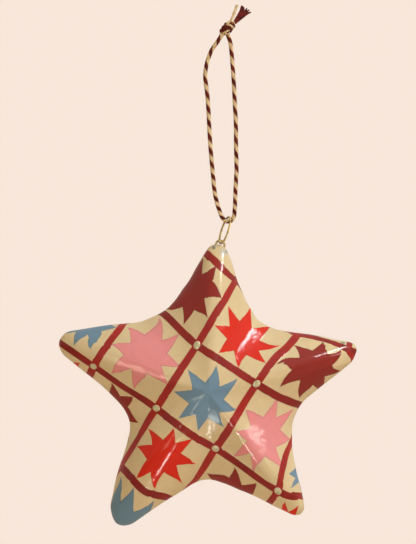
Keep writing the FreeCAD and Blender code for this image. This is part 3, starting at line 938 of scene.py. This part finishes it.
def two_ply(name, line, phase):
    """A cream and a maroon ply wound round one line, as one mesh with two finishes."""
    cream_mesh = sweep(name, plies_of(line, phase), yarn_diameter, sides=1)
    maroon_mesh = sweep(name, plies_of(line, phase + math.pi), yarn_diameter, sides=1)
    # A dark maroon core along the middle line is painted shade between the plies.
    shade_core_mesh = sweep(name, [line], shade_core_diameter, sides=1)
    bm = bmesh.new()
    for mesh, finish in ((cream_mesh, 0), (maroon_mesh, 1), (shade_core_mesh, 1)):
        known = len(bm.faces)
        bm.from_mesh(mesh)
        bm.faces.ensure_lookup_table()
        for face in bm.faces[known:]:
            face.material_index = finish
    bm.to_mesh(cream_mesh)
    bm.free()
    bpy.data.meshes.remove(maroon_mesh)
    bpy.data.meshes.remove(shade_core_mesh)
    cream_mesh.materials.append(cream_cotton)
    cream_mesh.materials.append(maroon_cotton)
    return cream_mesh


twisted_loop = keep_piece("twisted_loop", two_ply("twisted_loop", loop_line, cord_phase), "cord",
                          None, "two_ply_cord", "cord_loop")

# %% [markdown]
# ## The knot and the two ends
# The loop is closed by an overhand knot of the doubled cord, pulled tight. Its plies cross one
# another in a way that no formula gives, so each strand that shows is led by a few places read
# from the real knot, each with how far it stands out to the front. The same strands, turned to
# the back, close the other side. Beyond the knot the two plies part: the cream one stays whole,
# and the maroon one has frayed into a flat fan that splits into clumps near its end.

# %% Strands of the knot
maroon_strands = (
    ((220.6, 32.0, -0.9), (220.8, 30.4, 0.5), (223.4, 29.6, 1.5), (226.8, 28.6, 1.9),
     (229.6, 28.5, 1.7), (231.5, 29.9, 1.0), (230.4, 31.8, -0.6)),
    ((222.4, 28.4, -0.9), (222.6, 26.8, 0.5), (224.6, 26.3, 1.5), (227.2, 26.9, 1.9),
     (229.8, 27.2, 1.6), (231.6, 28.6, 0.6), (231.4, 30.2, -0.6)),
    ((224.9, 25.0, -0.8), (225.4, 23.3, 0.5), (227.0, 23.9, 1.3), (228.4, 25.6, 1.5),
     (229.4, 27.4, 1.0)),
    ((228.0, 25.2, 1.1), (230.0, 24.4, 1.7), (232.4, 24.2, 1.7), (234.2, 25.5, 0.9),
     (233.6, 27.2, -0.6)),
    ((226.6, 31.4, 1.0), (227.9, 33.0, 1.1), (228.6, 34.2, 0.4)),
)
cream_strands = (
    ((226.2, 25.6, 0.9), (227.2, 23.6, 1.6), (229.2, 22.1, 1.5), (231.6, 21.7, 1.3),
     (233.8, 22.7, 0.8), (234.6, 24.6, -0.6)),
    ((226.8, 24.6, 1.6), (228.8, 25.2, 2.2), (230.9, 26.2, 2.2), (232.8, 27.6, 1.3),
     (233.0, 28.8, -0.2)),
    ((221.8, 35.2, 0.3), (223.2, 33.6, 1.1), (225.6, 32.3, 1.6), (228.0, 31.0, 1.5),
     (229.4, 29.8, 0.6)),
    ((223.6, 33.4, 0.9), (226.0, 33.4, 1.1), (228.2, 34.6, 0.8), (229.8, 37.0, 0.2)),
)


knot_yarn_reach, knot_yarn_pitch = 0.2 * MM, 3.0 * MM
knot_maroon_yarn, knot_cream_yarn = 0.44 * MM, 0.42 * MM


def at_view(across, down, front):
    """A place from where it is seen, and how many millimetres it stands out to the front."""
    spot = seen(across, down)
    return Vector((spot.x, -front * MM, spot.y))


def knot_side(strands, facing):
    """Three twisted yarns along each of the strands, on the front or turned to the back."""
    paths = []
    for strand in strands:
        points = [at_view(across, down, facing * front) for across, down, front in strand]
        line, _ = spaced(path_of(points), 0.12 * MM)
        paths += [winding(line, knot_yarn_reach, knot_yarn_pitch, turn)
                  for turn in (0.0, 2.09, 4.19)]
    return paths


knot_maroon = sweep("knot_maroon", knot_side(maroon_strands, 1) + knot_side(maroon_strands, -1),
                    knot_maroon_yarn, sides=1)
knot_wraps = keep_piece("knot_maroon", knot_maroon, "cord", maroon_cotton, "two_ply_cord",
                        "cord_knot")
knot_cream = sweep("knot_cream", knot_side(cream_strands, 1) + knot_side(cream_strands, -1),
                   knot_cream_yarn, sides=1)
knot_bands = keep_piece("knot_cream", knot_cream, "cord", cream_cotton, "two_ply_cord")

# %% The core and the cream end
core_diameter = 2.6 * MM
core_route = [at_view(*point) for point in (
    (221.8, 32.8, 0.0), (226.5, 28.4, 0.0), (233.4, 23.4, 0.0),
)]
core_line, _ = spaced(path_of(core_route), 0.2 * MM)
knot_core = keep_piece("knot_core", sweep("knot_core", [core_line], core_diameter, sides=4),
                       "cord", maroon_cotton, "two_ply_cord")
cream_yarn_reach, cream_yarn_pitch, cream_yarn = 0.25 * MM, 9.0 * MM, 0.5 * MM
cream_route = [at_view(*point) for point in (
    (230.0, 24.0, 0.5), (232.2, 18.6, 0.3), (234.8, 11.4, 0.0), (237.4, 4.6, 0.0),
)]
cream_line, _ = spaced(path_of(cream_route), 0.12 * MM)
cream_yarns = [winding(cream_line, cream_yarn_reach, cream_yarn_pitch, turn)
               for turn in (0.4, 1.97, 3.54, 5.11)]
cream_end = keep_piece("cream_end", sweep("cream_end", cream_yarns, cream_yarn, taper=1, sides=2),
                       "cord", cream_cotton, "cream_ply", "cord_tail_cream")


# %% The frayed maroon end
# Each clump takes the yarns up to a share of the fan: that share, its tip in the picture and how
# far its yarns stand apart there. All numbers of the fan are steps in the picture.
frayed_yarn = 0.42 * MM
fan_clumps = (
    (0.40, (243.0, 5.9), 1.5), (0.60, (247.0, 7.8), 0.15), (0.80, (249.1, 9.2), 0.15),
    (1.01, (250.9, 11.7), 0.15),
)


def frayed_paths():
    """Yarns that fan out of the knot side by side, and draw together into clumps at their ends."""
    paths = []
    columns, layers = 11, 3
    for column in range(columns):
        share = column / (columns - 1)
        clump = next(c for c in fan_clumps if share <= c[0])
        mates = [k / (columns - 1) for k in range(columns)
                 if next(c for c in fan_clumps if k / (columns - 1) <= c[0]) is clump]
        place = (share - sum(mates) / len(mates)) / max(mates[-1] - mates[0], 0.1)
        for layer in range(layers):
            deep = (layer - 1) * 0.34
            shake = math.sin(column * 2.4 + layer * 1.7)
            root = (233.2 + 1.7 * share, 22.6 + 1.7 * share)
            start = (231.2 + 0.6 * share, 25.0 + 0.6 * share)
            split = (240.5 + 6.9 * share + 0.15 * shake, 10.3 + 3.7 * share)
            tip = (clump[1][0] + clump[2] * 1.4 * place + 0.25 * shake,
                   clump[1][1] + clump[2] * 1.2 * place + 0.7 * abs(shake))
            between_them = ((split[0] + tip[0]) / 2 + 0.5 * clump[2] * place,
                            (split[1] + tip[1]) / 2 + 0.5 * clump[2] * place)
            steps = (start, root, split, between_them, tip)
            points = [at_view(*step, deep * (1 - 0.15 * k)) for k, step in enumerate(steps)]
            line, _ = spaced(path_of(points), 0.2 * MM)
            paths.append(line)
    return paths


frayed_mesh = sweep("maroon_end", frayed_paths(), frayed_yarn, taper=3, sides=1)
maroon_end = keep_piece("maroon_end", frayed_mesh, "cord", maroon_cotton, "maroon_ply",
                        "cord_tail_maroon")

# %% [markdown]
# ## The ring and the eye
# The ring is an oval of two thin brass wires twisted together, and the eye under it is one
# plain wire whose legs are set in the star's tip. Both are lightly tarnished.


# %% Brass
def brass_finish():
    """Old brass, brown in patches."""
    finish, tree, shader = new_finish("tarnished_brass")
    place = add_node(tree, "ShaderNodeTexCoord").outputs["Object"]
    tarnish = soft_step(tree, cloudy(tree, place, 1100.0, 3.0), 0.4, 0.72)
    colour = between(tree, tarnish, paint_colour(178, 158, 102), paint_colour(110, 94, 56))
    tree.links.new(colour, shader.inputs["Base Color"])
    rough = add_node(tree, "ShaderNodeMapRange", {0: tarnish, 3: 0.34, 4: 0.55})
    tree.links.new(rough.outputs[0], shader.inputs["Roughness"])
    shader.inputs["Metallic"].default_value = 1.0
    return finish


brass = brass_finish()

# %% The twisted oval ring
ring_top = Vector((1.5844, 0.0, -61.3662)) * MM
ring_length = 9.4 * MM
ring_width = 4.7 * MM
ring_end_radius = 1.7 * MM
ring_wire_reach, ring_wire_pitch, ring_wire = 0.17 * MM, 1.5 * MM, 0.42 * MM
ring_lean = math.radians(18.0)
ring_turn = math.radians(30.0)
ring_down = Vector((-math.sin(ring_lean), 0.0, -math.cos(ring_lean)))
ring_across = Vector((math.sin(ring_turn), -math.cos(ring_turn), 0.0))
ring_across = (ring_across - ring_down * ring_across.dot(ring_down)).normalized()


def oval_path(steps=160):
    """A four-centre oval: two end arcs and two flatter side arcs."""
    half_long, half_wide, end = ring_length / 2, ring_width / 2, ring_end_radius
    side = (half_long ** 2 - 2 * half_long * end + half_wide ** 2) / (2 * (half_wide - end))
    end_off, side_off = half_long - end, side - half_wide
    lean = math.atan2(end_off, side_off)
    middle = ring_top + ring_down * half_long
    places = []
    for k in range(steps):
        turn = 2 * math.pi * k / steps
        up, out = math.sin(turn), math.cos(turn)
        slope = math.atan2(abs(up), abs(out))
        if slope > lean:
            along, over = end_off + end * abs(up), end * abs(out)
        else:
            along, over = side * abs(up), side * abs(out) - side_off
        place = ring_down * math.copysign(along, up) + ring_across * math.copysign(over, out)
        places.append(middle + place)
    return places


oval = oval_path()
oval_line, _ = spaced(oval + oval[:1], 0.1 * MM)
oval_line = oval_line[:-1]
ring_wires = [winding(oval_line, ring_wire_reach, ring_wire_pitch, turn, closed=True)
              for turn in (0.0, math.pi)]
ring_mesh = sweep("twisted_ring", ring_wires, ring_wire, closed=True, sides=2)
keep_piece("twisted_ring", ring_mesh, "ring", brass, "brass_wire", "hanger_ring")

# %% The eye
eye_crown = Vector((-1.0422, 0.0, -69.4502)) * MM
eye_tilt = math.radians(18.0)
eye_up = Vector((math.sin(eye_tilt), 0.0, math.cos(eye_tilt)))
eye_side = Vector((eye_up.z, 0.0, -eye_up.x))
eye_radius = 1.5 * MM
eye_neck = 1.2 * MM
eye_shank = 5.0 * MM
eye_closing = math.radians(12.0)
eye_wire = 0.7 * MM


def eye_path():
    """A leg, the arch and the other leg, the legs closing up in the tip."""
    middle = eye_crown - eye_up * eye_radius
    points = []
    for side in (-1, 1):
        foot_run = eye_up * (-eye_shank * math.cos(eye_closing))
        foot_run -= eye_side * (side * eye_shank * math.sin(eye_closing))
        arch_foot = middle + eye_side * (side * eye_radius)
        knee = arch_foot - eye_up * eye_neck
        leg = [knee + foot_run * share for share in (1.0, 0.7, 0.4, 0.15)]
        leg += [knee + (arch_foot - knee) * share for share in (0.3, 0.8)]
        points.append(leg)
    arch = []
    for k in range(25):
        turn = math.pi * (1 - k / 24)
        arch.append(middle + (eye_side * math.cos(turn) + eye_up * math.sin(turn)) * eye_radius)
    return points[0] + arch + points[1][::-1]


eye_line, _ = spaced(eye_path(), 0.12 * MM)
keep_piece("wire_eye", sweep("wire_eye", [eye_line], eye_wire, sides=4), "star", brass,
           "brass_wire", "hanger_eye")

# %% [markdown]
# ## What lies inside
# A strip of paper covers the joint from the inside, and a plug of hardened pulp holds the eye's
# legs. Both solids are right as they are, so they only get a finish.


# %% Paper finishes for the solids that stay
def pulp(name, light, dark):
    """Unpainted paper pulp."""
    finish, tree, shader = new_finish(name)
    place = add_node(tree, "ShaderNodeTexCoord").outputs["Object"]
    tone = cloudy(tree, place, 700.0, 4.0)
    tree.links.new(between(tree, tone, light, dark), shader.inputs["Base Color"])
    add_bump(tree, shader, tone, 0.0001)
    shader.inputs["Roughness"].default_value = 0.9
    return finish


inner_finishes = {
    "seam_strip": pulp("bare_strip_paper", paint_colour(196, 180, 150),
                       paint_colour(170, 152, 122)),
    "tip_plug": pulp("hardened_pulp", paint_colour(150, 134, 108), paint_colour(120, 104, 82)),
}
for node, finish in inner_finishes.items():
    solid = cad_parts[node]
    solid.data.materials.clear()
    solid.data.materials.append(finish)
print("dressed", sorted(inner_finishes))

# %% [markdown]
# ## Floor, backdrop, light and camera
# A hanging ornament is shown against a plain pale room: a floor well below it and a pale world.
# The world shows its pale colour to the camera and in reflections, and lights the scene more
# dimly. Three soft lamps light paint and cotton: the strongest stands high on the right, and
# weaker ones on the left and the right. Five bright shapes only show mirrored in the lacquer
# and the brass.

# %% Floor and world
backdrop_colour = paint_colour(248, 231, 218)
bm = bmesh.new()
bmesh.ops.create_grid(bm, x_segments=1, y_segments=1, size=3.0)
bmesh.ops.translate(bm, verts=bm.verts, vec=Vector((0, 0, -0.32)))
floor_mesh = bpy.data.meshes.new("floor")
bm.to_mesh(floor_mesh)
bm.free()
floor = bpy.data.objects.new("floor", floor_mesh)
bpy.context.scene.collection.objects.link(floor)
floor_finish, floor_tree, floor_shader = new_finish("pale_floor")
floor_shader.inputs["Base Color"].default_value = backdrop_colour
floor_shader.inputs["Roughness"].default_value = 0.9
floor_shader.inputs["Specular IOR Level"].default_value = 0.0
floor_place = add_node(floor_tree, "ShaderNodeTexCoord").outputs["Object"]
floor_parts = add_node(floor_tree, "ShaderNodeSeparateXYZ", {0: floor_place})
flat_place = add_node(floor_tree, "ShaderNodeCombineXYZ", {0: floor_parts.outputs[0],
                                                           1: floor_parts.outputs[1]})
from_below = vector_of(floor_tree, "LENGTH", flat_place.outputs[0])
far_off = soft_step(floor_tree, from_below, 0.15, 0.9)
floor_rays = add_node(floor_tree, "ShaderNodeLightPath")
even_share = sum_of(floor_tree, "MULTIPLY_ADD", far_off, 0.35, 0.65)
even_share = sum_of(floor_tree, "MULTIPLY", even_share, floor_rays.outputs["Is Camera Ray"])
glow = add_node(floor_tree, "ShaderNodeEmission", {"Color": backdrop_colour, "Strength": 1.0})
floor_mix = add_node(floor_tree, "ShaderNodeMixShader", {0: even_share, 1: floor_shader.outputs[0],
                                                         2: glow.outputs[0]})
floor_tree.links.new(floor_mix.outputs[0], floor_tree.nodes["Material Output"].inputs["Surface"])
floor_mesh.materials.append(floor_finish)

world = bpy.data.worlds.new("pale_room")
bpy.context.scene.world = world
world.use_nodes = True
world_tree = world.node_tree
world_tree.nodes.clear()
rays = add_node(world_tree, "ShaderNodeLightPath")
shown = sum_of(world_tree, "MAXIMUM", rays.outputs["Is Camera Ray"], rays.outputs["Is Glossy Ray"])
shown = sum_of(world_tree, "MAXIMUM", shown, rays.outputs["Is Transmission Ray"])
pale = add_node(world_tree, "ShaderNodeBackground", {"Color": backdrop_colour, "Strength": 1.0})
dim = add_node(world_tree, "ShaderNodeBackground", {"Color": paint_colour(255, 238, 196),
                                                    "Strength": 0.36})
both = add_node(world_tree, "ShaderNodeMixShader", {0: shown, 1: dim.outputs[0],
                                                    2: pale.outputs[0]})
add_node(world_tree, "ShaderNodeOutputWorld", {0: both.outputs[0]})


# %% Lamps
def area_lamp(name, place, size, power, colour, along=(0, 0, 1)):
    """A rectangular lamp that faces the star, with its longer side along a direction."""
    lamp = bpy.data.lights.new(name, "AREA")
    lamp.shape = "RECTANGLE"
    lamp.size, lamp.size_y = size
    lamp.energy = power
    lamp.color = colour
    holder = bpy.data.objects.new(name, lamp)
    bpy.context.scene.collection.objects.link(holder)
    holder.location = place
    back = (Vector(place) - star_centre).normalized()
    side = Vector(along).cross(back).normalized()
    turn = Matrix((side, back.cross(side), back)).transposed()
    holder.rotation_mode = "QUATERNION"
    holder.rotation_quaternion = turn.to_quaternion()
    return holder


def soft_lamp(name, place, size, power, colour):
    """A lamp that lights paint and cotton, and isn't mirrored in the lacquer."""
    area_lamp(name, place, size, power, colour).visible_glossy = False


def glint_lamp(name, direction, size, brightness, colour, along=(0, 1, 0), away=1.0):
    """A bright shape, sized for one metre off, that only shows mirrored in lacquer and brass."""
    place = star_centre + Vector(direction).normalized() * away
    size = (size[0] * away, size[1] * away)
    power = brightness * math.pi * size[0] * size[1]
    lamp = area_lamp(name, place, size, power, colour, along)
    lamp.visible_diffuse = False
    lamp.visible_camera = False


warm = (1.0, 0.96, 0.9)
soft_lamp("window", (0.6, -0.41, 0.57), (0.17, 0.26), 5.8, (0.88, 0.94, 1.0))
soft_lamp("door_ajar", (-0.48, -0.8, -0.1), (0.06, 0.8), 1.0, warm)
soft_lamp("side_lamp", (0.86, -0.48, 0.07), (0.08, 0.26), 0.45, warm)
glint_lamp("window_glint", (0.57, -0.38, 0.73), (0.18, 0.62), 52, (1.0, 1.0, 1.0))
glint_lamp("door_glint", (-0.46, -0.86, 0.02), (0.14, 0.3), 12, (1.0, 0.85, 0.6), (0, 0, 1))
glint_lamp("low_glint", (-0.04, -0.78, -0.6), (0.12, 0.22), 46, warm, away=0.28)
glint_lamp("side_glint", (0.82, -0.56, 0.13), (0.1, 0.3), 20, warm)
glint_lamp("left_glint", (-0.52, -0.67, -0.5), (0.2, 0.3), 9, warm)

# %% Camera
camera_data = bpy.data.cameras.new("camera")
camera = bpy.data.objects.new("camera", camera_data)
bpy.context.scene.collection.objects.link(camera)
picture_height = 544
view_height = picture_height * SIGHT
camera_data.sensor_width = 36.0
camera_data.lens = camera_data.sensor_width * view_distance / view_height
camera.location = (view_middle.x, -view_distance, view_middle.y)
camera.rotation_mode = "QUATERNION"
camera.rotation_quaternion = Vector((0, 1, 0)).to_track_quat("-Z", "Z")
camera_data.clip_start, camera_data.clip_end = 0.01, 20.0
bpy.context.scene.camera = camera
bpy.context.scene.view_settings.view_transform = "Standard"
print("camera with a", round(camera_data.lens), "mm lens")
